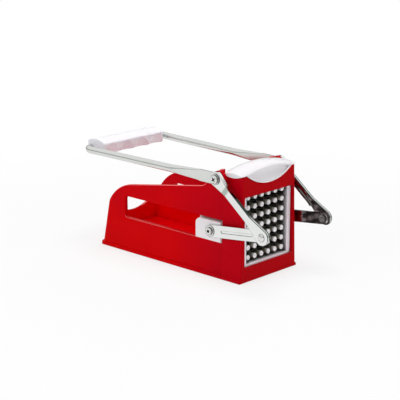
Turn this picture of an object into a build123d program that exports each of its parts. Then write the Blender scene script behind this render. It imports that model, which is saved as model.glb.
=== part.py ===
from build123d import *
from math import asin, atan2, cos, degrees, hypot, radians, sin, sqrt, tan
import os

# French fry cutter: a moulded trough with a lift-out blade cassette at its front, a peg pusher that
# slides in the trough, and a lifting handle that draws the pusher through two cranks and two links.
# Millimetres. Every piece is drawn with x = 0 on the front face of the housing and +X out of it,
# y = 0 on the middle plane, +Y to the left, z = 0 on the table. The finished assembly is then moved
# along X so that its footprint is centred on the origin.

# ---------------------------------------------------------------- grille of blades
chip_side = 10.0                 # side of one cut chip
blade_thickness = 0.5
columns = 6
rows = 7
blade_depth = 8.0
blade_set_back = 5.2             # from the cassette's front face to the blades
blade_seat = 3.0                 # length of blade end held in the cassette's bars
blade_bevel = 1.6                # length of the ground edge
blade_edge_thickness = 0.12
lap_play = 0.05                  # play on each side of a half-lap notch

# ---------------------------------------------------------------- blade cassette and its cap
cassette_depth = 15.6
cassette_side_bar = 6.2
cassette_foot_bar = 4.2
cassette_head_bar = 6.0
cassette_relief_width = 9.0      # channel down the outside of each side bar
cassette_relief_depth = 1.8
tab_width = 10.0                 # the two tabs that the cap snaps on to
tab_thickness = 7.0
tab_height = 7.0
tab_spread = 40.0
cassette_corner = 1.5
slide_play = 0.3                 # cassette in its pocket, cap in its scallops
cap_overhang = 0.8               # in front of the housing
cap_half_width = 42.0
cap_crown_rise = 8.2             # crown above the cap's seat
cap_crown_radius = 150.0         # crown across the machine
cap_crown_sag = 3.2              # crown along the machine
front_scallop_dip = 12.2         # how far the cap dips into the front wall
side_scallop_dip = 3.0
cap_corner_inset = 5.0           # from the housing's corner to the end of the front scallop
cap_top_rounding = 1.6
cap_corner_radius = 2.5          # in plan
grip_scoop_depth = 3.8           # finger scoop under the cap's lip
grip_scoop_inset = 3.4
grip_scoop_belly = 0.72          # depth at half height, as a share of the full depth
lip_thickness = 1.9

# ---------------------------------------------------------------- moulded body
head_room = 13.6                 # housing above the cassette's head
rear_cheek = 7.8                 # housing behind the cassette's pocket
front_wall = 2.5
side_wall_at_top = 2.1
draft_angle = 1.7
housing_step = 0.7               # the housing stands this far proud of the trough
retaining_lip = 0.8              # trough wall that holds the cassette from behind
opening_lip = 0.6                # front wall that holds the cassette's sides
opening_bottom = 16.1
opening_cover = 2.6              # front wall in front of the grille's top row
opening_corner = 1.5
rear_bottom = 209.7              # from the front face back to the foot of the rear wall
rear_lean = 0.188                # forward lean of the rear wall, per unit of height
rear_corner = 6.0                # plan radius of the two rear corners
rear_wall = 3.2
wall_below_pivot = 13.1          # the side wall's top where the ear starts
wall_behind_pivot = 26.4         # that point's distance behind the pivot
wall_top_slope = 0.165
shoulder_radius = 48.5
ear_radius = 8.4
ear_blend = 16.0
boss_radius = 7.8
scoop_bottom = 33.0              # lowest point of the rear wall's scoop
wall_edge_rounding = 0.9         # outer top edge of the trough's walls
inner_edge_rounding = 0.5
housing_rounding = 1.2           # upright front corners of the housing
slot_edge_rounding = 0.5
base_clearance = 0.8             # underside of the moulding above the table
rim_height = 4.3
rim_width = 1.3
rim_bevel = 1.0
floor_top = 17.9
floor_thickness = 2.5
rib_thickness = 2.0
cross_ribs = 3                   # under the floor
under_wall = 2.5

# ---------------------------------------------------------------- slots and slider shoes
slot_bottom = 38.4
slot_top = 62.0
slot_length = 144.9
slot_corner = 3.5
shoe_play = 0.5
shoe_headroom = 1.9              # slot above the shoe
shoe_length = 35.4
shoe_face = 44.3                 # distance of the shoe's outer face from the middle plane
shoe_corner = 6.0
shoe_rounding = 1.2

# ---------------------------------------------------------------- pusher
peg_tip_back = 4.4               # from the front face to the peg tips
peg_length = 15.6
peg_radius = 2.75
peg_bevel = 0.7                  # round the peg's tip
pusher_plate = 3.0
pusher_wall = 2.4
pusher_rib = 2.0
pusher_play = 0.4
pusher_drop = 1.6                # top of the pusher below the grille's top row

# ---------------------------------------------------------------- linkage, as heights and distances
pivot_behind_housing = 1.1       # handle pivot, behind the housing
pivot_drop = 4.8                 # below the housing's top
crank_pin_front = 33.7           # crank pin, in front of the front face
crank_pin_height = 58.4
bolt_inset = 12.3                # link bolt behind the front end of the shoe
pin_radius = 2.5
running_clearance = 0.05         # radial, in every hole that turns on a pin

# layers outwards from the shoe's face
layer_gap = 0.3
link_sheet = 1.4
link_rim = 2.0                   # depth of the link's folded edge
link_half_width = 6.6
link_front_radius = 6.2          # the link's end under the crank's foot
link_edge = 1.3
link_groove_width = 2.6
link_groove_depth = 0.7
link_groove_wall = 0.6           # metal beside the pressed groove
link_spacing = 2.8               # spacer on the rivet between link and crank
link_groove_land = 15.0          # from each pin to the end of the groove
tube_radius = 4.0
flat_thickness = 2.4             # flattened end of the handle tube
flat_height = 12.0
crank_sheet = 1.5
crank_eye_radius = 7.5
crank_foot_radius = 8.0
crank_waist = 7.8
crank_flange = 1.2
crank_flange_depth = 3.8
crank_flare_top = 19.0
crank_flare_foot = 24.0
crank_rear_flange_end = 20.0     # from the crank pin to the end of the rear flange
crank_front_flange_end = 2.0     # the front flange stops this far above the crank's centre line
crank_front_flange_start = 3.0   # and starts this far behind the pivot
crank_blend = 9.0

# ---------------------------------------------------------------- handle
handle_reach = 191.5             # from the pivot to the middle of the crossbar
handle_spread = 6.0              # each arm runs outwards by this much on its way to the crossbar
handle_rise = 0.7                # slope of the handle at rest, degrees
handle_bend = 9.0
flat_length = 24.0               # from the pivot to where the tube starts to swell
flat_transition = 40.0
grip_depth = 26.0
grip_rear_cover = 5.6            # grip behind the middle of the crossbar
grip_below = 5.2                 # grip below the middle of the crossbar
grip_height = 15.8
grip_front_height = 12.0
grip_rear_drop = 3.5             # rear edge of the grip's top below its crown
grip_crown_place = 0.45          # the crown's place, as a share of the grip's depth
grip_rounding = 2.0
finger_grooves = 4
finger_radius = 24.0
finger_depth = 2.0
finger_tilt = 20.0               # the grooves run out towards the top of the grip

# ---------------------------------------------------------------- fasteners and feet
pivot_head_radius = 4.4
pivot_head_height = 2.2
pivot_head_bevel = 0.7
washer_radius = 5.8
washer_thickness = 0.7
washer_gap = 0.1
nut_across_flats = 8.0
nut_thickness = 4.0
nut_play = 0.1
cross_length = 4.6
cross_width = 1.1
cross_depth = 1.3
cross_turn = 35
rivet_head_radius = 4.2
rivet_head_height = 1.5
rivet_tail_radius = 4.0
rivet_tail_height = 0.8
bolt_head_radius = 3.7
bolt_head_height = 2.2
bolt_head_bevel = 0.5
bolt_collar_radius = 5.9
bolt_collar_height = 0.6
bolt_socket = 3.4                # across corners of the hexagon
bolt_socket_depth = 1.4
insert_radius = 3.8
insert_length = 6.0
shoe_screw_radius = 1.5
shoe_screw_head_radius = 2.8
shoe_screw_head_height = 1.6
shoe_screw_length = 5.0
shoe_screw_inset = 6.5           # from the ends of the shoe
foot_radius = 5.0
foot_seat = 2.0
foot_boss_wall = 2.0
foot_inset = 17.0                # from the ends of the base
foot_side_inset = 10.5           # from the outside of the base

# ---------------------------------------------------------------- sizes that follow
pitch = chip_side + blade_thickness
grille_width = columns * pitch
grille_height = rows * pitch
cassette_half = grille_width / 2 + cassette_side_bar
pocket_half = cassette_half + slide_play
trough_half = pocket_half - retaining_lip

cassette_front = -(front_wall + slide_play)
cassette_rear = cassette_front - cassette_depth
pocket_rear = cassette_rear - slide_play
blade_front = cassette_front - blade_set_back
blade_rear = blade_front - blade_depth
pocket_floor = opening_bottom - cassette_foot_bar / 2 + slide_play
cassette_bottom = pocket_floor + slide_play
grille_bottom = cassette_bottom + cassette_foot_bar
grille_centre = grille_bottom + grille_height / 2
grille_top = grille_bottom + grille_height
cassette_top = grille_top + cassette_head_bar

housing_height = cassette_top + head_room
housing_depth = rear_cheek - pocket_rear
housing_half_top = pocket_half + side_wall_at_top
draft = tan(radians(draft_angle))
housing_half_base = housing_half_top + housing_height * draft
trough_half_base = housing_half_base - housing_step
rim_half = housing_half_base + rim_width
opening_top = grille_top - opening_cover

cap_rear = -housing_depth + slide_play
cap_front = cap_overhang
cap_middle = (cap_rear + cap_front) / 2
cap_level = housing_height + slide_play
cap_crown_height = cap_level + cap_crown_rise
scallop_half = housing_half_top - cap_corner_inset

slot_front = -housing_depth + slide_play
slot_back = slot_length - slot_front
shoe_front = slot_front - shoe_play
shoe_rear = shoe_front - shoe_length
shoe_bottom = slot_bottom + shoe_play
shoe_top = slot_top - shoe_headroom
peg_tip = -peg_tip_back
pusher_front = peg_tip - peg_length
pusher_half = trough_half - pusher_play
pusher_bottom = floor_top + pusher_play
pusher_top = grille_top - pusher_drop

pivot_x = -housing_depth - pivot_behind_housing
pivot_height = housing_height - pivot_drop
wall_top_front = pivot_height - wall_below_pivot
wall_top_start = pivot_x - wall_behind_pivot
link_pin_x = shoe_front - bolt_inset
link_pin_height = (slot_bottom + slot_top) / 2
crank_length = hypot(crank_pin_front - pivot_x, crank_pin_height - pivot_height)
crank_angle = degrees(atan2(crank_pin_height - pivot_height, crank_pin_front - pivot_x))
link_length = hypot(crank_pin_front - link_pin_x, crank_pin_height - link_pin_height)
link_angle = degrees(atan2(crank_pin_height - link_pin_height, crank_pin_front - link_pin_x))

link_inner = shoe_face + layer_gap
link_outer = link_inner + link_rim
crank_inner = link_outer + link_spacing
crank_outer = crank_inner + crank_sheet
flat_outer = crank_inner
flat_inner = flat_outer - flat_thickness
boss_face = flat_inner - layer_gap
tube_middle = (flat_inner + flat_outer) / 2
crossbar_half = tube_middle + handle_spread
hole_radius = pin_radius + running_clearance

ABOVE = 40.0                     # how far cutting tools reach past the work
FULL_ROUND = 0.49                # corner radius of a fully rounded section, as a share of its width


# ---------------------------------------------------------------- drawing helpers
def block(x_low, x_high, y_low, y_high, z_low, z_high):
    """A box between two corners."""
    middle = Pos((x_low + x_high) / 2, (y_low + y_high) / 2, (z_low + z_high) / 2)
    return middle * Box(x_high - x_low, y_high - y_low, z_high - z_low)


def slab_y(outline, y_low, y_high):
    """An outline drawn in x and z, made solid between two values of y."""
    return extrude(Plane.XZ.offset(-y_high) * outline, amount=y_high - y_low)


def slab_x(outline, x_low, x_high):
    """An outline drawn in y and z, made solid between two values of x."""
    return extrude(Plane.YZ.offset(x_low) * outline, amount=x_high - x_low)


def rod_y(x, z, radius, y_low, y_high):
    """A round bar along y."""
    return slab_y(Pos(x, z) * Circle(radius), y_low, y_high)


def face_of(*edges):
    """The flat face inside a closed run of edges."""
    return make_face(Curve() + list(edges))


def both_sides(shape):
    """A piece on the left and its mirror image on the right."""
    return [shape, mirror(shape, about=Plane.XZ)]


def leaning_prism(back, front, half, corner, narrowing):
    """An upright prism whose rear wall leans forwards and whose sides draw in, with round rear corners."""
    top = housing_height + ABOVE
    side_view = make_face(Polyline((-back, 0), (front, 0), (front, top), (-back + rear_lean * top, top),
                                   close=True))
    half_at_top = half - narrowing * top
    front_view = make_face(Polyline((-half, 0), (half, 0), (half_at_top, top), (-half_at_top, top),
                                    close=True))
    prism = slab_y(side_view, -2 * half, 2 * half) & slab_x(front_view, -back - 1, front + 1)
    if corner == 0:
        return prism
    rear = prism.faces().sort_by(Axis.X)[0]
    return fillet([edge for edge in rear.edges() if abs(edge.center().Y) > half / 2], corner)


# ---------------------------------------------------------------- cap outline, shared with the body
def cap_form(grow):
    """The cap's underside, or the space for it in the housing when it is grown by the play."""
    low = cap_level - front_scallop_dip - grow
    wide = scallop_half + grow
    smile = face_of(
        ThreePointArc((-wide, cap_level - grow), (0, low), (wide, cap_level - grow)),
        Line((wide, cap_level - grow), (wide, cap_level + ABOVE)),
        Line((wide, cap_level + ABOVE), (-wide, cap_level + ABOVE)),
        Line((-wide, cap_level + ABOVE), (-wide, cap_level - grow)),
    )
    rear = cap_rear - grow
    front = cap_front + grow
    dip = cap_level - side_scallop_dip - grow
    side = face_of(
        ThreePointArc((rear, cap_level - grow), (cap_middle, dip), (front, cap_level - grow)),
        Line((front, cap_level - grow), (front, cap_level + ABOVE)),
        Line((front, cap_level + ABOVE), (rear, cap_level + ABOVE)),
        Line((rear, cap_level + ABOVE), (rear, cap_level - grow)),
    )
    return slab_x(smile, rear, front) + slab_y(side, -cap_half_width - grow, cap_half_width + grow)


# ---------------------------------------------------------------- moulded body
def side_outline():
    """The trough's side view, with a straight rear wall, a round shoulder and the pivot ears."""
    lean_height = wall_top_front - wall_top_slope * (wall_top_start + rear_bottom)
    shoulder_z = lean_height / (1 - wall_top_slope * rear_lean)
    shoulder = (-rear_bottom + rear_lean * shoulder_z, shoulder_z)
    start = (wall_top_start, wall_top_front)
    reach = hypot(pivot_x - start[0], pivot_height - start[1])
    climb = atan2(pivot_height - start[1], pivot_x - start[0]) + asin(ear_radius / reach)
    tangent = sqrt(reach ** 2 - ear_radius ** 2)
    ear = (start[0] + tangent * cos(climb), start[1] + tangent * sin(climb))
    corners = [(-rear_bottom, 0), shoulder, start, ear, (pivot_x, pivot_height), (pivot_x, 0)]
    outline = make_face(Polyline(*corners, close=True))
    outline = fillet(outline.vertices().sort_by_distance((*shoulder, 0))[0], shoulder_radius)
    outline = fillet(outline.vertices().sort_by_distance((*start, 0))[0], ear_blend)
    front_block = make_face(Polyline((pivot_x, 0), (pivot_x, pivot_height),
                                     (-housing_depth + 1, pivot_height), (-housing_depth + 1, 0),
                                     close=True))
    return outline + front_block + Pos(pivot_x, pivot_height) * Circle(ear_radius)


def underside_cells():
    """Pockets between the cross ribs under the floor."""
    back = -rear_bottom + under_wall + rear_lean * floor_top
    front = -under_wall
    half = trough_half_base - under_wall
    limit = Pos((back + front) / 2, 0) * Rectangle(front - back, 2 * half)
    limit = fillet(limit.vertices().sort_by(Axis.X)[:2], rear_corner - under_wall)
    step = (front - back + rib_thickness) / (cross_ribs + 1)
    cells = Sketch()
    for place in range(cross_ribs + 1):
        x = back + (place + 0.5) * step - rib_thickness / 2
        cells += Pos(x, 0) * Rectangle(step - rib_thickness, 2 * half)
    cells = cells & limit
    shallow = min(floor_top, pocket_floor) - floor_thickness
    deep = floor_top - floor_thickness
    solid = extrude(cells, amount=deep)
    under_pocket = block(pocket_rear - floor_thickness, ABOVE, -ABOVE * 2, ABOVE * 2, shallow, floor_top)
    return solid - under_pocket


def foot_places():
    """Middles of the four feet."""
    x_back = -rear_bottom + foot_inset
    x_front = -foot_inset
    y = rim_half - foot_side_inset
    return [(x, side * y) for x in (x_back, x_front) for side in (-1, 1)]


def slot_tool():
    """The cut for the slider shoes, through both side walls."""
    outline = Pos((slot_front - slot_back) / 2, (slot_bottom + slot_top) / 2) * Rectangle(
        slot_front + slot_back, slot_top - slot_bottom)
    outline = fillet(outline.vertices().sort_by(Axis.X)[:2], slot_corner)
    return slab_y(outline, -cap_half_width - ABOVE, cap_half_width + ABOVE)


def wall_top_edges(solid):
    """The edges along the top of both side walls, from the rear shoulder to the ears."""
    def along_top(edge):
        middle = edge.center()
        return abs(middle.Y) > trough_half - 1 and middle.Z > slot_top and middle.X < pivot_x
    return [edge for edge in solid.edges() if along_top(edge)]


def inner_top_edges(solid):
    """The same edges on the inside of the walls."""
    def along_top(edge):
        middle = edge.center()
        on_wall = abs(abs(middle.Y) - trough_half) < inner_edge_rounding
        return on_wall and middle.Z > slot_top + 1 and middle.X < pivot_x and edge.length > rear_wall
    return [edge for edge in solid.edges() if along_top(edge)]


def slot_edges(solid):
    """The outline of both slots on the outside of the walls."""
    def on_outside(edge):
        middle = edge.center()
        beside = -slot_back - 1 < middle.X < -housing_depth - housing_step
        level = slot_bottom - 0.1 < middle.Z < slot_top + 0.1
        return beside and level and abs(middle.Y) > housing_half_top and edge.length > 1
    return [edge for edge in solid.edges() if on_outside(edge)]


def make_body():
    height = housing_height + ABOVE
    trough = leaning_prism(rear_bottom, ABOVE, trough_half_base, 0, draft)
    trough = trough & slab_y(side_outline(), -2 * ABOVE, 2 * ABOVE)
    trough = fillet(wall_top_edges(trough), wall_edge_rounding)
    trough = trough & leaning_prism(rear_bottom, ABOVE, trough_half_base, rear_corner, draft)
    housing = leaning_prism(2 * housing_depth + ABOVE, ABOVE, housing_half_base, 0, draft)
    housing = housing & block(-housing_depth, 0, -2 * ABOVE, 2 * ABOVE, 0, housing_height)
    front = housing.faces().sort_by(Axis.X)[-1]
    upright = [edge for edge in front.edges() if abs(edge.center().Y) > trough_half]
    housing = fillet(upright, housing_rounding)
    body = trough + housing

    rim = Pos(-(rear_bottom + rim_width) / 2, 0) * Rectangle(rear_bottom + rim_width, 2 * rim_half)
    rim = fillet(rim.vertices().sort_by(Axis.X)[:2], rear_corner + rim_width)
    rim = extrude(rim, amount=rim_height)
    rim = chamfer(rim.edges().group_by(Axis.Z)[-1], rim_bevel)
    body += rim
    body -= underside_cells()
    for x, y in foot_places():
        body += Pos(x, y, floor_top / 2) * Cylinder(foot_radius + foot_boss_wall, floor_top)

    # inside of the trough
    inner_corner = rear_corner - rear_wall
    inside = leaning_prism(rear_bottom - rear_wall, cassette_front, trough_half, inner_corner, 0)
    body -= inside & block(-2 * rear_bottom, 0, -2 * ABOVE, 2 * ABOVE, floor_top, height)
    body -= block(pocket_rear, -front_wall, -pocket_half, pocket_half, pocket_floor, height)

    # front opening
    opening_half = cassette_half - opening_lip
    opening = Pos(0, (opening_bottom + opening_top) / 2) * RectangleRounded(
        2 * opening_half, opening_top - opening_bottom, opening_corner)
    body -= slab_x(opening, -2 * front_wall, front_wall)

    # scoop in the rear wall, tangent to the inside of both side walls
    scoop_radius = trough_half - inner_edge_rounding
    scoop = Pos(0, scoop_bottom + scoop_radius) * Circle(scoop_radius)
    scoop += Pos(0, scoop_bottom + scoop_radius + height / 2) * Rectangle(2 * scoop_radius, height)
    body -= slab_x(scoop, -rear_bottom - ABOVE, -slot_back - shoulder_radius / 4)

    body -= slot_tool()
    body = fillet(slot_edges(body), slot_edge_rounding)
    body = fillet(inner_top_edges(body), inner_edge_rounding)

    # pivot bosses with a hexagon pocket for the nut on the inside
    for side in (1, -1):
        low, high = sorted((side * trough_half, side * boss_face))
        body += rod_y(pivot_x, pivot_height, boss_radius, low, high)
        low, high = sorted((0, side * (boss_face + ABOVE)))
        body -= rod_y(pivot_x, pivot_height, pin_radius, low, high)
        low, high = sorted((side * (trough_half - ABOVE), side * (trough_half + nut_thickness)))
        hexagon = RegularPolygon(nut_across_flats / 2 + nut_play, 6, major_radius=False)
        body -= slab_y(Pos(pivot_x, pivot_height) * hexagon, low, high)
    body -= cap_form(slide_play)

    # feet sit in blind bosses
    foot_height = base_clearance + foot_seat
    for x, y in foot_places():
        body -= Pos(x, y, foot_height / 2) * Cylinder(foot_radius, foot_height)
    return body - block(-2 * rear_bottom, rear_bottom, -2 * ABOVE, 2 * ABOVE, -ABOVE, base_clearance)


# ---------------------------------------------------------------- blades and cassette
def blade_section():
    """A blade's section, ground to an edge at the rear, where the potato meets it."""
    half = blade_thickness / 2
    edge = blade_edge_thickness / 2
    return make_face(Polyline((blade_front, -half), (blade_front, half), (blade_rear + blade_bevel, half),
                              (blade_rear, edge), (blade_rear, -edge), (blade_rear + blade_bevel, -half),
                              close=True))


def upright_blades():
    """Blades that stand up, notched from the front for the level ones."""
    length = grille_height + 2 * blade_seat
    plain = Pos(0, 0, grille_centre - length / 2) * extrude(blade_section(), amount=length)
    middle = blade_front - blade_depth / 2
    notch = blade_thickness / 2 + lap_play
    for row in range(1, rows):
        z = grille_bottom + row * pitch
        plain -= block(middle, blade_front + 1, -blade_thickness, blade_thickness, z - notch, z + notch)
    return [Pos(0, (column - columns / 2) * pitch, 0) * plain for column in range(1, columns)]


def level_blades():
    """Blades that lie across, notched from the rear for the upright ones."""
    length = grille_width + 2 * blade_seat
    plain = slab_y(blade_section(), -length / 2, length / 2)
    middle = blade_front - blade_depth / 2
    notch = blade_thickness / 2 + lap_play
    for column in range(1, columns):
        y = (column - columns / 2) * pitch
        plain -= block(blade_rear - 1, middle, y - notch, y + notch, -blade_thickness, blade_thickness)
    return [Pos(0, 0, grille_bottom + row * pitch) * plain for row in range(1, rows)]


def tabs(grow):
    """The two upright tabs on the cassette's head, or their sockets in the cap."""
    middle = (cassette_front + cassette_rear) / 2
    pair = [block(middle - tab_thickness / 2 - grow, middle + tab_thickness / 2 + grow,
                  side * tab_spread / 2 - tab_width / 2 - grow, side * tab_spread / 2 + tab_width / 2 + grow,
                  cassette_top - 1, cassette_top + tab_height + grow) for side in (-1, 1)]
    return pair[0] + pair[1]


def make_blade_frame(blades):
    outer = block(cassette_rear, cassette_front, -cassette_half, cassette_half,
                  cassette_bottom, cassette_top)
    outer = fillet(outer.edges().filter_by(Axis.X).group_by(Axis.Z)[0], cassette_corner)
    outer -= block(cassette_rear - 1, cassette_front + 1, -grille_width / 2, grille_width / 2,
                   grille_bottom, grille_top)
    middle = (cassette_front + cassette_rear) / 2
    for side in (-1, 1):
        low, high = sorted((side * (cassette_half - cassette_relief_depth), side * (cassette_half + 1)))
        outer -= block(middle - cassette_relief_width / 2, middle + cassette_relief_width / 2, low, high,
                       grille_bottom, grille_top)
    outer += tabs(0)
    for blade in blades:
        outer -= blade
    return outer


def make_cap():
    rear, front = cap_rear, cap_front
    edge = cap_crown_height - cap_crown_sag
    profile = face_of(
        ThreePointArc((rear, edge), (cap_middle, cap_crown_height), (front, edge)),
        Line((front, edge), (front, cassette_top - ABOVE)),
        Line((front, cassette_top - ABOVE), (rear, cassette_top - ABOVE)),
        Line((rear, cassette_top - ABOVE), (rear, edge)),
    )
    swing = degrees(asin(1.2 * cap_half_width / cap_crown_radius))
    axis = Axis((0, 0, cap_crown_height - cap_crown_radius), (1, 0, 0))
    crown = revolve(Plane.XZ * profile, axis, revolution_arc=2 * swing)
    crown = crown.rotate(axis, swing if crown.center().Y > 0 else -swing)
    crown &= block(rear, front, -cap_half_width, cap_half_width, cassette_top - 1, cap_crown_height + 1)
    crown = fillet(crown.edges().filter_by(Axis.Z), cap_corner_radius)
    crown = fillet(crown.faces().sort_by(Axis.Z)[-1].edges(), cap_top_rounding)
    cap = cap_form(0) & crown

    # finger scoops under the front and rear lips
    half = scallop_half - grip_scoop_inset
    crown_drop = half ** 2 / (2 * cap_crown_radius)
    lip = edge_height() - lip_thickness
    corner = lip - crown_drop
    low = cap_level - front_scallop_dip + lip_thickness
    lens = face_of(
        ThreePointArc((-half, corner), (0, lip), (half, corner)),
        ThreePointArc((half, corner), (0, low), (-half, corner)),
    )
    for x_face, inward in ((front, -1), (rear, 1)):
        x_deep = x_face + inward * grip_scoop_depth
        x_belly = x_face + inward * grip_scoop_depth * grip_scoop_belly
        hollow = face_of(
            ThreePointArc((x_face, low - 0.5), (x_belly, (low + lip) / 2), (x_deep, lip + 1)),
            Line((x_deep, lip + 1), (x_face - inward, lip + 1)),
            Line((x_face - inward, lip + 1), (x_face - inward, low - 0.5)),
            Line((x_face - inward, low - 0.5), (x_face, low - 0.5)),
        )
        x_low, x_high = sorted((x_face - inward, x_deep))
        cap -= slab_x(lens, x_low, x_high) & slab_y(hollow, -half, half)

    tongue_half = cassette_half - opening_lip
    cap += block(cassette_rear, cassette_front, -tongue_half, tongue_half, cassette_top,
                 cap_level - side_scallop_dip)
    return cap - tabs(slide_play / 3)


def edge_height():
    """Height of the cap's front edge on the middle plane."""
    return cap_crown_height - cap_crown_sag


# ---------------------------------------------------------------- pusher and slider shoes
def dome(radius, height, base):
    """A low spherical cap on +Z, standing at a given height."""
    sphere = (radius ** 2 + height ** 2) / (2 * height)
    half_turn = asin(radius / sphere) / 2
    middle = (sphere * sin(half_turn), base + height - sphere * (1 - cos(half_turn)))
    profile = face_of(
        Line((0, base), (radius, base)),
        ThreePointArc((radius, base), middle, (0, base + height)),
        Line((0, base + height), (0, base)),
    )
    return revolve(Plane.XZ * profile, Axis.Z)


def make_peg():
    """One peg, drawn along +Z from inside the plate, with a bevelled tip."""
    length = peg_length + pusher_plate / 2
    peg = Pos(0, 0, peg_length - length / 2) * Cylinder(peg_radius, length)
    return chamfer(peg.edges().group_by(Axis.Z)[-1], peg_bevel)


def make_pusher():
    """The plate with its pegs, and the open box behind it with two crossed ribs."""
    rear = shoe_rear
    shell = block(rear, pusher_front, -pusher_half, pusher_half, pusher_bottom, pusher_top)
    inner_half = pusher_half - pusher_wall
    low = pusher_bottom + pusher_wall
    high = pusher_top - pusher_wall
    shell -= block(rear - 1, pusher_front - pusher_plate, -inner_half, inner_half, low, high)
    rib = pusher_rib / 2
    rib_height = (low + high) / 2
    shell += block(rear, pusher_front - 1, -rib, rib, pusher_bottom + 1, pusher_top - 1)
    shell += block(rear, pusher_front - 1, -pusher_half + 1, pusher_half - 1,
                   rib_height - rib, rib_height + rib)
    peg = Plane((pusher_front, 0, 0), x_dir=(0, 1, 0), z_dir=(1, 0, 0)) * make_peg()
    pegs = []
    for column in range(columns):
        for row in range(rows):
            y = (column - (columns - 1) / 2) * pitch
            z = grille_centre + (row - (rows - 1) / 2) * pitch
            pegs.append(Pos(0, y, z) * peg)
    shell = shell + pegs
    for x, z in shoe_screw_places():
        shell -= rod_y(x, z, shoe_screw_radius, -pusher_half - 1, -inner_half + 1)
        shell -= rod_y(x, z, shoe_screw_radius, inner_half - 1, pusher_half + 1)
    return shell


def shoe_screw_places():
    """Two screws per shoe, in front of and behind the link's bolt."""
    z = (shoe_bottom + shoe_top) / 2
    return [(shoe_rear + shoe_screw_inset, z), (shoe_front - shoe_screw_inset, z)]


def make_shoe():
    """The left shoe: fills the slot in the wall and stands proud of it."""
    outline = Pos((shoe_rear + shoe_front) / 2, (shoe_bottom + shoe_top) / 2) * Rectangle(
        shoe_length, shoe_top - shoe_bottom)
    rear_top = outline.vertices().sort_by_distance((shoe_rear, shoe_top, 0))[0]
    outline = fillet(rear_top, shoe_corner)
    shoe = slab_y(outline, pusher_half, shoe_face)
    shoe = fillet(shoe.edges().group_by(Axis.Y)[-1], shoe_rounding)
    shoe -= rod_y(link_pin_x, link_pin_height, insert_radius, shoe_face - insert_length, shoe_face + 1)
    for x, z in shoe_screw_places():
        shoe -= rod_y(x, z, shoe_screw_radius, pusher_half - 1, pusher_half - pusher_wall + shoe_screw_length)
    return shoe


def make_shoe_inserts():
    ring = rod_y(link_pin_x, link_pin_height, insert_radius, shoe_face - insert_length, shoe_face)
    ring -= rod_y(link_pin_x, link_pin_height, pin_radius, shoe_face - insert_length - 1, shoe_face + 1)
    return both_sides(ring)


def make_shoe_screws():
    seat = pusher_half - pusher_wall
    screws = []
    for x, z in shoe_screw_places():
        screw = rod_y(x, z, shoe_screw_radius, seat, seat + shoe_screw_length)
        screw += rod_y(x, z, shoe_screw_head_radius, seat - shoe_screw_head_height, seat)
        screws += both_sides(screw)
    return screws


# ---------------------------------------------------------------- link, crank and handle
def on_link(outline):
    """Moves an outline drawn from the link's bolt along +X to its place."""
    return Pos(link_pin_x, link_pin_height) * Rot(0, 0, link_angle) * outline


def on_crank(outline):
    """Moves an outline drawn from the handle's pivot along +X to its place."""
    return Pos(pivot_x, pivot_height) * Rot(0, 0, crank_angle) * outline


def bar_outline(length, start_radius, end_radius):
    """A flat bar with round ends and straight, slightly tapered sides."""
    sides = make_face(Polyline((0, -start_radius), (length, -end_radius), (length, end_radius),
                               (0, start_radius), close=True))
    return sides + Circle(start_radius) + Pos(length, 0) * Circle(end_radius)


def make_link():
    """The left link: a stamped bar with a folded edge and a pressed groove."""
    outer = bar_outline(link_length, link_half_width, link_front_radius)
    inner = bar_outline(link_length, link_half_width - link_edge, link_front_radius - link_edge)
    link = slab_y(on_link(outer), link_inner, link_outer)
    link -= slab_y(on_link(inner), link_inner - 1, link_outer - link_sheet)
    length = link_length - 2 * link_groove_land
    groove = Pos(link_length / 2, 0) * SlotOverall(length, link_groove_width)
    ridge = Pos(link_length / 2, 0) * SlotOverall(
        length + 2 * link_groove_wall, link_groove_width + 2 * link_groove_wall)
    link += slab_y(on_link(ridge), link_inner, link_outer - link_sheet)
    link -= slab_y(on_link(groove), link_outer - link_groove_depth, link_outer + 1)
    for x, radius in ((0, link_half_width), (link_length, link_front_radius)):
        land = Pos(x, 0) * Circle(radius - link_edge / 2)
        link += slab_y(on_link(land), link_inner, link_outer - link_sheet)
    link -= slab_y(on_link(Circle(pin_radius)), link_inner - 1, link_outer + 1)
    return link - slab_y(on_link(Pos(link_length, 0) * Circle(hole_radius)), link_inner - 1, link_outer + 1)


def make_link_bolt():
    """The left link's bolt: a collar, a round head with a hexagon socket and a short shank."""
    bolt = rod_y(link_pin_x, link_pin_height, pin_radius, link_inner, link_outer)
    bolt += rod_y(link_pin_x, link_pin_height, bolt_collar_radius, link_outer,
                  link_outer + bolt_collar_height)
    head_top = link_outer + bolt_collar_height + bolt_head_height
    head = rod_y(link_pin_x, link_pin_height, bolt_head_radius, link_outer, head_top)
    bolt += chamfer(head.edges().group_by(Axis.Y)[-1], bolt_head_bevel)
    hexagon = Pos(link_pin_x, link_pin_height) * RegularPolygon(bolt_socket / 2, 6)
    return bolt - slab_y(hexagon, head_top - bolt_socket_depth, head_top + 1)


def crank_outline():
    """The crank's outline: an eye at the pivot, a narrow waist and a flared foot."""
    waist = crank_waist / 2
    eye = crank_eye_radius
    foot = crank_foot_radius
    sides = make_face(Polyline(
        (0, eye), (crank_flare_top, waist), (crank_length - crank_flare_foot, waist), (crank_length, foot),
        (crank_length, -foot), (crank_length - crank_flare_foot, -waist), (crank_flare_top, -waist),
        (0, -eye), close=True))
    corners = [v for v in sides.vertices() if abs(abs(v.Y) - waist) < 0.01]
    sides = fillet(corners, crank_blend)
    return sides + Circle(eye) + Pos(crank_length, 0) * Circle(foot)


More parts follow.
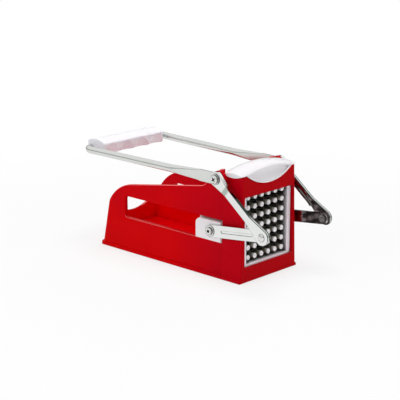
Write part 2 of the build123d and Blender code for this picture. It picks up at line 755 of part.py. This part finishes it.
def make_crank():
    """The left crank: a stamped channel whose flanges point at the body."""
    outline = crank_outline()
    crank = slab_y(on_crank(outline), crank_inner, crank_outer)
    flange_inner = crank_outer - crank_flange_depth
    edge = outline - offset(outline, -crank_flange)
    wide = 2 * crank_foot_radius
    rear_reach = crank_length - crank_flare_top - crank_rear_flange_end
    rear_side = Pos(crank_flare_top + rear_reach / 2, -wide / 2) * Rectangle(rear_reach, wide)
    front_reach = crank_length + wide + crank_front_flange_start
    front_middle = front_reach / 2 - crank_front_flange_start
    front_side = Pos(front_middle, crank_front_flange_end + wide / 2) * Rectangle(front_reach, wide)
    strips = edge & (rear_side + front_side)
    crank += slab_y(on_crank(strips), flange_inner, crank_inner)
    holes = Circle(hole_radius) + Pos(crank_length, 0) * Circle(pin_radius)
    return crank - slab_y(on_crank(holes), crank_inner - 1, crank_outer + 1)


def make_crank_rivets():
    """Shouldered rivets that join crank and link: domed head, spacer between the two, flat tail."""
    tail_top = link_inner - layer_gap / 3
    rivet = rod_y(crank_pin_front, crank_pin_height, pin_radius, tail_top - rivet_tail_height / 2,
                  crank_outer + rivet_head_height / 2)
    head_place = Plane((crank_pin_front, crank_outer, crank_pin_height), z_dir=(0, 1, 0))
    rivet += head_place * dome(rivet_head_radius, rivet_head_height, 0)
    rivet += rod_y(crank_pin_front, crank_pin_height, rivet_tail_radius, link_outer + layer_gap / 3,
                   crank_inner)
    rivet += rod_y(crank_pin_front, crank_pin_height, rivet_tail_radius, tail_top - rivet_tail_height,
                   tail_top)
    return both_sides(rivet)


def handle_place():
    """The handle's own frame: origin on the pivot, tubes along its -X axis."""
    return Pos(pivot_x, 0, pivot_height) * Rot(0, handle_rise, 0)


def make_handle_tube():
    """One bent tube: a flat eye at each pivot, arms that run outwards, a bend and the crossbar."""
    reach = handle_reach
    round_start = flat_length + flat_transition
    slope = handle_spread / (reach - flat_length)
    start_y = tube_middle + slope * flat_transition
    path = FilletPolyline((-round_start, start_y, 0), (-reach, crossbar_half, 0),
                          (-reach, -crossbar_half, 0), (-round_start, -start_y, 0), radius=handle_bend)
    section = Plane((-round_start, start_y, 0), z_dir=(-1, slope, 0)) * Circle(tube_radius)
    tube = sweep(section, path=path)
    eye = flat_height / 2
    flat = Pos(-flat_length / 2, 0) * Rectangle(flat_length, flat_height) + Circle(eye)
    flat -= Circle(hole_radius)
    for side in (1, -1):
        low, high = sorted((side * flat_inner, side * flat_outer))
        start = Plane((-flat_length, side * tube_middle, 0), x_dir=(0, 1, 0), z_dir=(-1, 0, 0))
        start = start * RectangleRounded(flat_thickness, flat_height, flat_thickness * FULL_ROUND)
        end = Plane((-round_start, side * start_y, 0), x_dir=(side * slope, 1, 0),
                    z_dir=(-1, side * slope, 0))
        end = end * RectangleRounded(2 * tube_radius, 2 * tube_radius, 2 * tube_radius * FULL_ROUND)
        tube += loft([start.faces()[0], end.faces()[0]])
        tube += slab_y(flat, low, high)
    return handle_place() * tube


def make_handle_grip(tube):
    """The grip on the crossbar: crowned on top, with finger grooves along its front."""
    reach = handle_reach
    rear = -reach - grip_rear_cover
    front = rear + grip_depth
    half = crossbar_half - handle_bend
    bottom = -grip_below
    top = bottom + grip_height
    front_top = bottom + grip_front_height
    section = face_of(
        Line((rear, bottom), (front, bottom)),
        Line((front, bottom), (front, front_top)),
        ThreePointArc((front, front_top), (rear + grip_depth * grip_crown_place, top),
                      (rear, top - grip_rear_drop)),
        Line((rear, top - grip_rear_drop), (rear, bottom)),
    )
    grip = slab_y(section, -half, half)
    grip = fillet(grip.edges().filter_by(Axis.Y), grip_rounding)
    groove_pitch = 2 * half / finger_grooves
    for finger in range(finger_grooves):
        y = -half + (finger + 0.5) * groove_pitch
        groove = Cylinder(finger_radius, 4 * grip_height)
        axis_x = front - finger_depth + finger_radius / cos(radians(finger_tilt))
        place = Pos(axis_x, y, bottom + grip_front_height / 2) * Rot(0, finger_tilt, 0)
        grip -= place * groove
    grip = handle_place() * grip
    return grip - tube


# ---------------------------------------------------------------- pivot hardware and feet
def make_pivot_screws():
    head_low = crank_outer + washer_gap + washer_thickness
    screw = rod_y(pivot_x, pivot_height, pin_radius, trough_half + 0.4, head_low)
    head = rod_y(pivot_x, pivot_height, pivot_head_radius, head_low, head_low + pivot_head_height)
    screw += chamfer(head.edges().group_by(Axis.Y)[-1], pivot_head_bevel)
    cross = Rectangle(cross_length, cross_width) + Rectangle(cross_width, cross_length)
    cross = Pos(pivot_x, pivot_height) * Rot(0, 0, cross_turn) * cross
    top = head_low + pivot_head_height
    return both_sides(screw - slab_y(cross, top - cross_depth, top + 1))


def make_pivot_washers():
    low = crank_outer + washer_gap
    ring = rod_y(pivot_x, pivot_height, washer_radius, low, low + washer_thickness)
    return both_sides(ring - rod_y(pivot_x, pivot_height, pin_radius, low - 1, low + 2))


def make_pivot_nuts():
    hexagon = Pos(pivot_x, pivot_height) * RegularPolygon(nut_across_flats / 2, 6, major_radius=False)
    nut = slab_y(hexagon, trough_half, trough_half + nut_thickness)
    return both_sides(nut - rod_y(pivot_x, pivot_height, pin_radius, 0, 2 * trough_half))


def make_feet():
    height = base_clearance + foot_seat
    foot = Pos(0, 0, height / 2) * Cylinder(foot_radius, height)
    return [Pos(x, y, 0) * foot for x, y in foot_places()]


# ---------------------------------------------------------------- assembly
def assemble():
    """Every node's solids, by name, before the footprint is centred."""
    pieces = {}
    standing = upright_blades()
    lying = level_blades()
    for number, blade in enumerate(standing, start=1):
        pieces[f"upright_blade_{number}"] = [blade]
    for number, blade in enumerate(lying, start=1):
        pieces[f"level_blade_{number}"] = [blade]
    pieces["trough_body"] = [make_body()]
    pieces["blade_frame"] = [make_blade_frame(standing + lying)]
    pieces["blade_cap"] = [make_cap()]
    pieces["pusher"] = [make_pusher()]
    tube = make_handle_tube()
    pieces["handle_tube"] = [tube]
    pieces["handle_grip"] = [make_handle_grip(tube)]
    for name, left in (("slider_shoe", make_shoe()), ("link", make_link()),
                       ("link_bolt", make_link_bolt()), ("crank", make_crank())):
        pieces[f"{name}_left"], pieces[f"{name}_right"] = [[piece] for piece in both_sides(left)]
    pieces["shoe_inserts"] = make_shoe_inserts()
    pieces["shoe_screws"] = make_shoe_screws()
    pieces["crank_rivets"] = make_crank_rivets()
    pieces["pivot_screws"] = make_pivot_screws()
    pieces["pivot_washers"] = make_pivot_washers()
    pieces["pivot_nuts"] = make_pivot_nuts()
    pieces["rubber_feet"] = make_feet()
    return pieces


def solids_of(shapes):
    return [solid for shape in shapes for solid in shape.solids()]


pieces = assemble()
everything = Compound(children=[solid for shapes in pieces.values() for solid in solids_of(shapes)])
footprint_shift = -everything.bounding_box().center().X

os.makedirs("parts", exist_ok=True)
for name, shapes in pieces.items():
    placed = [Pos(footprint_shift, 0, 0) * solid for solid in solids_of(shapes)]
    node = placed[0] if len(placed) == 1 else Compound(children=placed)
    export_step(node, f"parts/{name}.step")
    print(name, len(placed))
print("footprint shift", round(footprint_shift, 4))
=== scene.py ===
import math

import bpy
from mathutils import Matrix, Vector

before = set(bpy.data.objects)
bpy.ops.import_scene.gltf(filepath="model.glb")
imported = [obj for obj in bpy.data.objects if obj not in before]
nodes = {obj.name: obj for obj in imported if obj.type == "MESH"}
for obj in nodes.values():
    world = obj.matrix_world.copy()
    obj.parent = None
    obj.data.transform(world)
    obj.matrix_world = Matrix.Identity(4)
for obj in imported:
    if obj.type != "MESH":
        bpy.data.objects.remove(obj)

print("scene: frame loaded")
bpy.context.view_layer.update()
scene = bpy.context.scene


class Wire:
    # one output socket of a shader tree; arithmetic on it adds Math nodes
    def __init__(self, shading, socket):
        self.shading = shading
        self.socket = socket

    def __add__(self, other):
        return self.shading.maths("ADD", self, other)

    def __radd__(self, other):
        return self.shading.maths("ADD", other, self)

    def __sub__(self, other):
        return self.shading.maths("SUBTRACT", self, other)

    def __rsub__(self, other):
        return self.shading.maths("SUBTRACT", other, self)

    def __mul__(self, other):
        return self.shading.maths("MULTIPLY", self, other)

    def __rmul__(self, other):
        return self.shading.maths("MULTIPLY", other, self)

    def __truediv__(self, other):
        return self.shading.maths("DIVIDE", self, other)

    def __rtruediv__(self, other):
        return self.shading.maths("DIVIDE", other, self)

    def __pow__(self, other):
        return self.shading.maths("POWER", self, other)

    def __rpow__(self, other):
        return self.shading.maths("POWER", other, self)

    def __neg__(self):
        return self.shading.maths("MULTIPLY", self, -1.0)


# samples of the Bevel nodes and the Ambient Occlusion node
sampling = {"edges": 8, "relief": 6, "openness": 12}


class Shading:
    # the node tree of a material or a world, made empty; ending is the type of its output node
    def __init__(self, owner, ending):
        owner.use_nodes = True
        self.tree = owner.node_tree
        self.tree.nodes.clear()
        self.ending = ending

    def feed(self, socket, value):
        # a socket takes a wire, a colour or a plain number
        if isinstance(value, Wire):
            self.tree.links.new(value.socket, socket)
        elif socket.type == "RGBA":
            socket.default_value = (*value, 1.0)
        else:
            socket.default_value = value

    def add(self, kind, settings=None, sockets=None, output=0):
        # any node: its type, its settings, its sockets' values or wires, and the output that goes on
        node = self.tree.nodes.new(kind)
        for name, value in (settings or {}).items():
            setattr(node, name, value)
        for key, value in (sockets or {}).items():
            self.feed(node.inputs[key], value)
        return Wire(self, node.outputs[output]) if node.outputs else None

    def maths(self, operation, first, second=0.0):
        return self.add("ShaderNodeMath", {"operation": operation}, {0: first, 1: second})

    def surface(self, wire):
        self.add(self.ending, sockets={"Surface": wire})

    def rays(self, *kinds):
        # 1 for rays of any of these kinds
        seen = 0.0
        for kind in kinds:
            seen = self.maths("MAXIMUM", seen, self.add("ShaderNodeLightPath", output=kind))
        return seen

    def normal(self):
        return self.add("ShaderNodeNewGeometry", output="Normal")

    def ownNormal(self):
        # the face's direction in the piece's own frame, which turns with the piece
        return self.add("ShaderNodeTexCoord", output="Normal")

    def place(self, stretch=(1, 1, 1)):
        # the point in the piece's own frame, in metres
        coordinates = self.add("ShaderNodeTexCoord", output="Object")
        return self.add("ShaderNodeMapping", sockets={"Vector": coordinates, "Scale": stretch})

    def noise(self, scale, detail, stretch=(1, 1, 1)):
        return self.add("ShaderNodeTexNoise", sockets={"Vector": self.place(stretch), "Scale": scale,
                                                       "Detail": detail})

    def blend(self, amount, first, second):
        # a Mix node has its two colours at 6 and 7 and their result at 2
        return self.add("ShaderNodeMix", {"data_type": "RGBA"}, {0: amount, 6: first, 7: second}, output=2)

    def rise(self, wire, low, high):
        # 0 below low, 1 above high
        return self.add("ShaderNodeMapRange", sockets={"Value": wire, "From Min": low, "From Max": high})

    def fall(self, wire, low, high):
        # 1 below low, 0 above high
        return 1 - self.rise(wire, low, high)

    def agreement(self, first, second):
        # 1 where two directions are the same, 0 where they are square to each other
        return self.add("ShaderNodeVectorMath", {"operation": "DOT_PRODUCT"}, {0: first, 1: second}, output="Value")

    def edges(self, radius, sharpness):
        # 1 along edges and creases, 0 on the faces between them
        rounded = self.add("ShaderNodeBevel", {"samples": sampling["edges"]}, {"Radius": radius})
        return self.rise(1 - self.agreement(rounded, self.normal()), 0.0, sharpness)

    def openness(self, reach):
        # 1 on open faces, lower in gaps and hollows
        return self.add("ShaderNodeAmbientOcclusion", {"samples": sampling["openness"]}, {"Distance": reach},
                        output="AO")

    def parts(self, vector):
        # the three components of a vector
        separate = self.add("ShaderNodeSeparateXYZ", sockets={0: vector})
        return [Wire(self, socket) for socket in separate.socket.node.outputs]

    def relief(self, height, depth, edgeRadius):
        # bumps of this depth in metres, over edges that look rounded by a small radius
        rounded = self.add("ShaderNodeBevel", {"samples": sampling["relief"]}, {"Radius": edgeRadius})
        return self.add("ShaderNodeBump", sockets={"Strength": 1.0, "Distance": depth, "Height": height,
                                                   "Normal": rounded})


class Finish(Shading):
    # a material with one Principled shader; what is the same all over stands on the shader's own sockets
    def __init__(self, name, constants):
        self.material = bpy.data.materials.new(name)
        super().__init__(self.material, "ShaderNodeOutputMaterial")
        self.shader = self.add("ShaderNodeBsdfPrincipled", sockets=constants)
        self.surface(self.shader)

    def show(self, colour, roughness, relief):
        shown = {"Base Color": colour, "Roughness": roughness, "Normal": relief}
        for name, wire in shown.items():
            self.feed(self.shader.socket.node.inputs[name], wire)
        return self.material


dressed = []


def wear(material, pieces):
    # the material goes on every piece whose name starts like one of these
    for name, node in nodes.items():
        if name.startswith(pieces):
            node.data.materials.clear()
            node.data.materials.append(material)
            dressed.append(name)


trough = {
    "pieces": ("trough_body",),
    "constants": {"Specular IOR Level": 0.018, "IOR": 1.5},
    "wallBelow": (0.69, 0.0003, 0.0018),
    "wallAbove": (0.63, 0.0003, 0.0050),
    "wallMiddle": 0.05,              # height at which the one turns into the other
    "wallSlope": 6.0,                # how much the height counts against the cloudy noise
    "wallFade": (0.35, 0.65),
    "housing": (0.54, 0.0003, 0.0075),
    "housingFade": (-0.01, 0.06),    # painted shade over the housing, from the pivots to the front
    # painted shade: the housing's front faces darker still
    "front": (0.49, 0.0003, 0.0040),
    "frontFace": (0.0860, 0.0880),
    # painted light inside the trough: inner walls much lighter, the floor and the walls' upper inside less so
    "innerWall": (0.94, 0.0004, 0.0025),
    "innerFace": (0.0372, 0.0376),   # half the width between the walls
    "floor": (0.62, 0.0003, 0.0025),
    "innerTop": (0.70, 0.0003, 0.0080),
    "innerTopFade": (0.048, 0.054),
    "litEdge": (1.0, 0.27, 0.26),    # painted highlight on rounded upper edges on the right side
    "litShare": 0.9,
    "litHeights": (0.012, 0.024),
    "outline": (0.33, 0.0002, 0.0045),
    "outlineShare": 0.6,
    "outlineRadius": 0.0012,
    "outlineSharpness": 0.15,
    "outlineFrom": 0.012,            # the base rim below this has none
    "squareOn": (0.5, 0.9),
    "slanting": (0.3, 0.5),
    "flow": (18.0, 3.0),             # scale and detail of each noise
    "haze": (60.0, 4.0),
    "peel": (700.0, 2.0),
    "roughness": 0.09,
    "hazeRoughness": 0.06,
    "peelDepth": 0.000006,
    "edgeRadius": 0.0005,
}


def redMoulding(paint):
    red = Finish("red_moulding", paint["constants"])
    flow, haze, peel = (red.noise(*paint[key]) for key in ("flow", "haze", "peel"))
    toFront, toSide, upward = red.parts(red.normal())
    forward, side, height = red.parts(red.place())
    behind = red.fall(forward, *paint["frontFace"])
    inside = behind * red.fall(red.maths("ABSOLUTE", side), *paint["innerFace"])
    above = red.rise(flow + paint["wallSlope"] * (height - paint["wallMiddle"]), *paint["wallFade"])
    skin = red.blend(above, paint["wallBelow"], paint["wallAbove"])
    # painted shade: the housing darker towards the front, and its front faces darker again
    skin = red.blend(red.rise(forward, *paint["housingFade"]), skin, paint["housing"])
    skin = red.blend(red.rise(toFront, *paint["squareOn"]) * (1 - behind), skin, paint["front"])
    # painted light on the inside faces of the trough
    hollow = red.blend(red.rise(upward, *paint["squareOn"]), paint["innerWall"], paint["floor"])
    hollow = red.blend(red.rise(height, *paint["innerTopFade"]), hollow, paint["innerTop"])
    skin = red.blend(inside, skin, hollow)
    # painted shade: darker red along the outer edges
    outline = red.edges(paint["outlineRadius"], paint["outlineSharpness"]) * (1 - inside)
    outline = outline * red.maths("GREATER_THAN", height, paint["outlineFrom"])
    skin = red.blend(paint["outlineShare"] * outline, skin, paint["outline"])
    # painted highlight on edges that slant upwards towards the right side, above the base rim
    slanting = red.rise(upward, *paint["slanting"]) * red.rise(-toSide, *paint["slanting"])
    lit = slanting * red.rise(height, *paint["litHeights"])
    skin = red.blend(paint["litShare"] * lit, skin, paint["litEdge"])
    return red.show(skin, paint["roughness"] + paint["hazeRoughness"] * haze,
                    red.relief(peel, paint["peelDepth"], paint["edgeRadius"]))


wear(redMoulding(trough), trough["pieces"])
print("scene: red body finished")


whitePlastic = {
    "constants": {"Specular IOR Level": 0.5, "IOR": 1.48},
    "flow": (40.0, 3.0),
    "haze": (90.0, 4.0),
    "peel": (900.0, 2.0),
    "hazeRoughness": 0.08,
    "edgeRadius": 0.0004,
    "hollowFade": (0.30, 0.62),
}
whiteMouldings = {
    "white_moulding": {
        "pieces": ("blade_cap", "slider_shoe"),
        "colour": (0.93, 0.90, 0.92),
        "shade": (0.89, 0.86, 0.89),
        "roughness": 0.16,
        "peelDepth": 0.000003,
    },
    "frame_moulding": {
        "pieces": ("blade_frame",),
        "colour": (0.90, 0.86, 0.91),
        "shade": (0.86, 0.82, 0.88),
        "roughness": 0.20,
        "peelDepth": 0.000003,
        "hollow": (0.10, 0.095, 0.085),    # painted shade deep in gaps
        "hollowReach": 0.014,
    },
    "peg_moulding": {
        "pieces": ("pusher",),
        "colour": (0.99, 0.97, 0.98),
        "shade": (0.96, 0.94, 0.95),
        "roughness": 0.16,
        "peelDepth": 0.000003,
        # painted shade between the pegs
        "hollow": (0.20, 0.19, 0.13),
        "hollowReach": 0.014,
        "mark": (0.62, 0.60, 0.60),
        "markRadius": (0.0005, 0.00075),
        "pegTips": (0.08671, 0.08691),
        "pegPitch": 0.0105,
        "pegMiddle": 0.05555,              # height of the middle row
    },
    "grip_moulding": {
        "pieces": ("handle_grip",),
        "colour": (0.95, 0.94, 0.99),
        "shade": (0.92, 0.90, 0.96),
        "roughness": 0.30,
        "peelDepth": 0.000008,
    },
}


def pegMark(white, paint):
    # the small moulding mark at the middle of each peg's tip; the pegs stand in even rows and columns
    forward, side, height = white.parts(white.place())
    column = white.maths("FRACT", side / paint["pegPitch"] + 8.0) - 0.5
    row = white.maths("FRACT", (height - paint["pegMiddle"]) / paint["pegPitch"] + 8.5) - 0.5
    radius = paint["pegPitch"] * (column * column + row * row) ** 0.5
    return white.rise(forward, *paint["pegTips"]) * white.fall(radius, *paint["markRadius"])


def whiteMoulding(name, paint, plastic):
    white = Finish(name, plastic["constants"])
    flow, haze, peel = (white.noise(*plastic[key]) for key in ("flow", "haze", "peel"))
    skin = white.blend(flow, paint["colour"], paint["shade"])
    # painted shade in gaps and hollows, from ambient occlusion
    if "hollow" in paint:
        exposed = white.rise(white.openness(paint["hollowReach"]), *plastic["hollowFade"])
        skin = white.blend(exposed, paint["hollow"], skin)
    if "mark" in paint:
        skin = white.blend(pegMark(white, paint), skin, paint["mark"])
    return white.show(skin, paint["roughness"] + plastic["hazeRoughness"] * haze,
                      white.relief(peel, paint["peelDepth"], plastic["edgeRadius"]))


for name, paint in whiteMouldings.items():
    wear(whiteMoulding(name, paint, whitePlastic), paint["pieces"])
print("scene: white mouldings finished")


drawnSteel = {
    "constants": {"Metallic": 1.0},
    "streakScale": (1.0, 3.0),
    "cloud": (70.0, 3.0),
    "cloudFade": (0.3, 0.7),
    "outline": (0.06, 0.07, 0.06),
    "outlineShare": 0.85,
    "outlineSharpness": 0.12,
    "streakRoughness": 0.06,
    "cloudRoughness": 0.03,
    "inwards": (0.5, 0.8),
}
crankFlange = {
    "facing": (0.622, 0.0, 0.783),         # the way the front flange faces
    "facingFade": (0.2, 0.4),
    # painted dark reflection on the front flange
    "dark": (0.03, 0.045, 0.036),
    "innerEdge": (0.0484, 0.0486),         # the bright line runs between these two
    "outerEdge": (0.0496, 0.0498),
    "lineTop": (0.074, 0.078),             # the right crank's line ends here
    "rightSide": (0.0, 0.01),
    "top": (0.0955, 0.0985),               # the eye above this is plain
    "pivot": (0.0639, 0.1071),
    "along": (0.783, -0.622),
    "step": (0.0135, 0.0150, 0.0190, 0.0205),
    "stepShade": (0.42, 0.48, 0.43),
}
pressedSheet = {
    "colour": (0.80, 0.81, 0.80),
    "shade": (0.76, 0.78, 0.76),
    "roughness": 0.10,
    "streaks": (30, 30, 30),
    "edge": 0.0003,
    "groove": 0.0000005,
    "inner": (0.26, 0.22, 0.22),           # painted shade on faces towards the body
}
groundBlade = {
    "roughness": 0.26,
    "streaks": (1500, 30, 30),
    "edge": 0.00005,
    "groove": 0.000003,
    # painted shade on faces towards the body
    "inner": (0.26, 0.22, 0.22),
}
steels = {
    "tube_steel": {
        "pieces": ("handle_tube",),
        "colour": (0.69, 0.70, 0.68),
        "shade": (0.65, 0.67, 0.64),
        "roughness": 0.10,
        "streaks": (4, 400, 400),
        "edge": 0.0002,
        "groove": 0.0000001,
    },
    "stamped_steel": {"pieces": ("link_left", "link_right"), **pressedSheet},
    "crank_steel": {"pieces": ("crank_left", "crank_right"), "flange": crankFlange, **pressedSheet},
    "blade_steel": {
        "pieces": ("upright_blade",),
        # painted shade: the upright blades dark olive
        "colour": (0.16, 0.155, 0.11),
        "shade": (0.11, 0.105, 0.075),
        **groundBlade,
    },
    "dark_blade_steel": {
        "pieces": ("level_blade",),
        # painted shade: the level blades nearly black
        "colour": (0.04, 0.035, 0.035),
        "shade": (0.02, 0.018, 0.018),
        **groundBlade,
    },
}


def innerFaces(steel, fade):
    # 1 on faces that look inwards at the body
    toSide = steel.parts(steel.ownNormal())[1]
    side = steel.parts(steel.place())[1]
    return steel.rise(-toSide * steel.maths("SIGN", side), *fade)


def pressedStep(steel, flange):
    # painted shade where a shallow step would be pressed across the crank just below its eye
    forward, side, height = steel.parts(steel.place())
    (pivotForward, pivotHeight), (alongForward, alongHeight) = flange["pivot"], flange["along"]
    along = (forward - pivotForward) * alongForward + (height - pivotHeight) * alongHeight
    start, startEnd, endStart, end = flange["step"]
    return steel.rise(along, start, startEnd) * steel.fall(along, endStart, end)


def flangeBands(steel, flange):
    # painted dark reflection on the channel's front flange, broken by a bright line, which the right crank has only
    # round its foot
    across, height = steel.parts(steel.place())[1:]
    side = steel.maths("ABSOLUTE", across)
    beside = steel.maths("MAXIMUM", steel.fall(side, *flange["innerEdge"]), steel.rise(side, *flange["outerEdge"]))
    lineless = steel.rise(height, *flange["lineTop"]) * steel.rise(-across, *flange["rightSide"])
    facing = steel.rise(steel.agreement(steel.ownNormal(), flange["facing"]), *flange["facingFade"])
    return facing * steel.fall(height, *flange["top"]) * steel.maths("MAXIMUM", lineless, beside)


def drawn(name, paint, steelKind):
    # drawn or rolled steel with fine streaks along one direction
    steel = Finish(name, steelKind["constants"])
    streak = steel.noise(*steelKind["streakScale"], paint["streaks"])
    cloud = steel.noise(*steelKind["cloud"])
    sheet = steel.blend(steel.rise(cloud, *steelKind["cloudFade"]), paint["colour"], paint["shade"])
    # painted shade on the faces that look inwards at the body
    if "inner" in paint:
        sheet = steel.blend(innerFaces(steel, steelKind["inwards"]), sheet, paint["inner"])
    # painted shade along the edges
    outline = steel.edges(2 * paint["edge"], steelKind["outlineSharpness"])
    sheet = steel.blend(steelKind["outlineShare"] * outline, sheet, steelKind["outline"])
    if "flange" in paint:
        flange = paint["flange"]
        sheet = steel.blend(pressedStep(steel, flange), sheet, flange["stepShade"])
        sheet = steel.blend(flangeBands(steel, flange), sheet, flange["dark"])
    roughness = paint["roughness"] + steelKind["streakRoughness"] * streak + steelKind["cloudRoughness"] * cloud
    return steel.show(sheet, roughness, steel.relief(streak, paint["groove"], paint["edge"]))


for name, paint in steels.items():
    wear(drawn(name, paint, drawnSteel), paint["pieces"])
print("scene: steel parts and blades finished")


turnedMetal = {
    "constants": {"Metallic": 1.0},
    "cloud": (300.0, 3.0),
    "cloudRoughness": 0.12,
    "cloudDepth": 0.000004,
    "edgeRadius": 0.0002,
    "dark": (0.03, 0.03, 0.03),            # painted shade in recesses and along edges
    "outlineShare": 0.9,
    "outlineRadius": 0.0008,
    "outlineSharpness": 0.10,
    "recessReach": 0.004,
    "recessFade": (0.4, 0.9),
}
fasteners = {
    "plated_steel": {
        "pieces": ("pivot_screws", "pivot_washers", "pivot_nuts", "crank_rivets", "link_bolt", "shoe_screws"),
        "colour": (0.80, 0.80, 0.79),
        "shade": (0.72, 0.73, 0.72),
        "roughness": 0.12,
    },
    "turned_brass": {
        "pieces": ("shoe_inserts",),
        "colour": (0.68, 0.50, 0.22),
        "shade": (0.58, 0.42, 0.18),
        "roughness": 0.25,
    },
}


def turned(name, paint, metalKind):
    metal = Finish(name, metalKind["constants"])
    cloud = metal.noise(*metalKind["cloud"])
    face = metal.blend(cloud, paint["colour"], paint["shade"])
    # painted shade along the edges and, from ambient occlusion, in recesses
    outline = metal.edges(metalKind["outlineRadius"], metalKind["outlineSharpness"])
    face = metal.blend(metalKind["outlineShare"] * outline, face, metalKind["dark"])
    exposed = metal.rise(metal.openness(metalKind["recessReach"]), *metalKind["recessFade"])
    return metal.show(metal.blend(exposed, metalKind["dark"], face),
                      paint["roughness"] + metalKind["cloudRoughness"] * cloud,
                      metal.relief(cloud, metalKind["cloudDepth"], metalKind["edgeRadius"]))


for name, paint in fasteners.items():
    wear(turned(name, paint, turnedMetal), paint["pieces"])
print("scene: fasteners finished")


feet = {
    "pieces": ("rubber_feet",),
    "constants": {"Specular IOR Level": 0.3},
    "colour": (0.02, 0.02, 0.021),
    "shade": (0.045, 0.045, 0.046),
    "grain": (1500.0, 2.0),
    "roughness": 0.65,
    "grainRoughness": 0.2,
    "grainDepth": 0.00002,
    "edgeRadius": 0.0003,
}


def softRubber(paint):
    rubber = Finish("foot_rubber", paint["constants"])
    grain = rubber.noise(*paint["grain"])
    return rubber.show(rubber.blend(grain, paint["colour"], paint["shade"]),
                       paint["roughness"] + paint["grainRoughness"] * grain,
                       rubber.relief(grain, paint["grainDepth"], paint["edgeRadius"]))


wear(softRubber(feet), feet["pieces"])
print("scene: finishes on", len(dressed), "of", len(nodes), "pieces")


cameraPlace = {
    "azimuth": 43.67,                      # degrees
    "elevation": 15.14,
    "roll": -0.20,
    "target": (0.02565, -0.03291, 0.07505),
    "distance": 1.290,
    "focalPixels": 1246.0,                 # focal length in pixels of the rendered image
    "imageWidth": 400,
    "sensor": 36.0,                        # millimetres
    "farthest": 20,
}


def aimCamera(place):
    camera = bpy.data.objects.new("camera", bpy.data.cameras.new("camera"))
    scene.collection.objects.link(camera)
    camera.data.sensor_width = place["sensor"]
    camera.data.lens = place["focalPixels"] / place["imageWidth"] * place["sensor"]
    camera.data.clip_end = place["farthest"]
    turn, lift, roll = (math.radians(place[key]) for key in ("azimuth", "elevation", "roll"))
    right = Vector((math.cos(turn), math.sin(turn), 0))
    back = Vector((math.sin(turn) * math.cos(lift), -math.cos(turn) * math.cos(lift), math.sin(lift)))
    up = back.cross(right)
    across = math.cos(roll) * right + math.sin(roll) * up
    upward = -math.sin(roll) * right + math.cos(roll) * up
    turned = Matrix((across, upward, back)).transposed().to_4x4()
    camera.matrix_world = Matrix.Translation(Vector(place["target"]) + place["distance"] * back) @ turned
    return camera


scene.camera = aimCamera(cameraPlace)
print("scene: camera placed")


paper = {
    "half": 6.0,                           # half the side of the square sheet, in metres
    "colour": (0.93, 0.93, 0.94),
    "glow": 1.0,
    "glowNear": 0.72,                      # share of glow under the cutter, so that its shadow shows
    "glowFade": (0.16, 0.55),              # from here outwards it rises to 1
}


def makeFloor():
    floor = bpy.data.objects.new("floor", bpy.data.meshes.new("floor"))
    scene.collection.objects.link(floor)
    half = paper["half"]
    corners = [(-half, -half, 0), (half, -half, 0), (half, half, 0), (-half, half, 0)]
    floor.data.from_pydata(corners, [], [(0, 1, 2, 3)])
    material = bpy.data.materials.new("paper")
    sheet = Shading(material, "ShaderNodeOutputMaterial")
    distance = sheet.add("ShaderNodeVectorMath", {"operation": "LENGTH"}, {0: sheet.place()}, output="Value")
    share = paper["glowNear"] + (1 - paper["glowNear"]) * sheet.rise(distance, *paper["glowFade"])
    seen = sheet.rays("Is Camera Ray", "Is Glossy Ray", "Is Transmission Ray")
    matt = sheet.add("ShaderNodeBsdfDiffuse", sockets={"Color": paper["colour"]})
    glow = sheet.add("ShaderNodeEmission", sockets={"Strength": paper["glow"]})
    sheet.surface(sheet.add("ShaderNodeMixShader", sockets={0: seen * share, 1: matt, 2: glow}))
    floor.data.materials.append(material)


sky = {
    "colour": (1.0, 1.0, 1.0),
    "seen": 1.0,                           # white behind the cutter
    "light": 0.32,                         # strength on surfaces
    "horizon": 0.30,                       # strengths in mirrors
    "zenith": 1.0,
    "mirrorFade": (0.05, 0.45),
}


def lightWorld():
    world = bpy.data.worlds.new("studio")
    scene.world = world
    studio = Shading(world, "ShaderNodeOutputWorld")
    height = studio.parts(studio.add("ShaderNodeTexCoord", output="Generated"))[2]
    mirrored = sky["horizon"] + (sky["zenith"] - sky["horizon"]) * studio.rise(height, *sky["mirrorFade"])
    ground, mirror, seen = (studio.add("ShaderNodeBackground", sockets={"Color": sky["colour"], "Strength": strength})
                            for strength in (sky["light"], mirrored, sky["seen"]))
    lit = studio.add("ShaderNodeMixShader", sockets={0: studio.rays("Is Glossy Ray"), 1: ground, 2: mirror})
    direct = studio.rays("Is Camera Ray", "Is Transmission Ray")
    studio.surface(studio.add("ShaderNodeMixShader", sockets={0: direct, 1: lit, 2: seen}))


lampAim = (0, 0, 0.05)
lamps = {
    "overhead": {"place": (0.0, 0.0, 1.4), "size": (0.9, 0.7), "power": 11.0},
    "near_side": {"place": (-0.2, -1.5, 0.8), "size": (0.8, 0.6), "power": 6.0},
    "front": {"place": (1.6, 0.1, 0.6), "size": (0.8, 0.6), "power": 4.5},
    "far_side": {"place": (-0.5, 1.5, 0.8), "size": (0.8, 0.6), "power": 2.5},
}


def hangLamp(name, lamp):
    light = bpy.data.objects.new(name, bpy.data.lights.new(name, "AREA"))
    scene.collection.objects.link(light)
    light.data.shape = "RECTANGLE"
    light.data.size, light.data.size_y = lamp["size"]
    light.data.energy = lamp["power"]
    light.location = lamp["place"]
    light.rotation_mode = "QUATERNION"
    light.rotation_quaternion = (Vector(lampAim) - Vector(lamp["place"])).to_track_quat("-Z", "Y")
    light.visible_glossy = False           # steel shows the sky and the floor, and no lamps


makeFloor()
lightWorld()
for name, lamp in lamps.items():
    hangLamp(name, lamp)
scene.view_settings.view_transform = "Standard"
print("scene: stage lit")
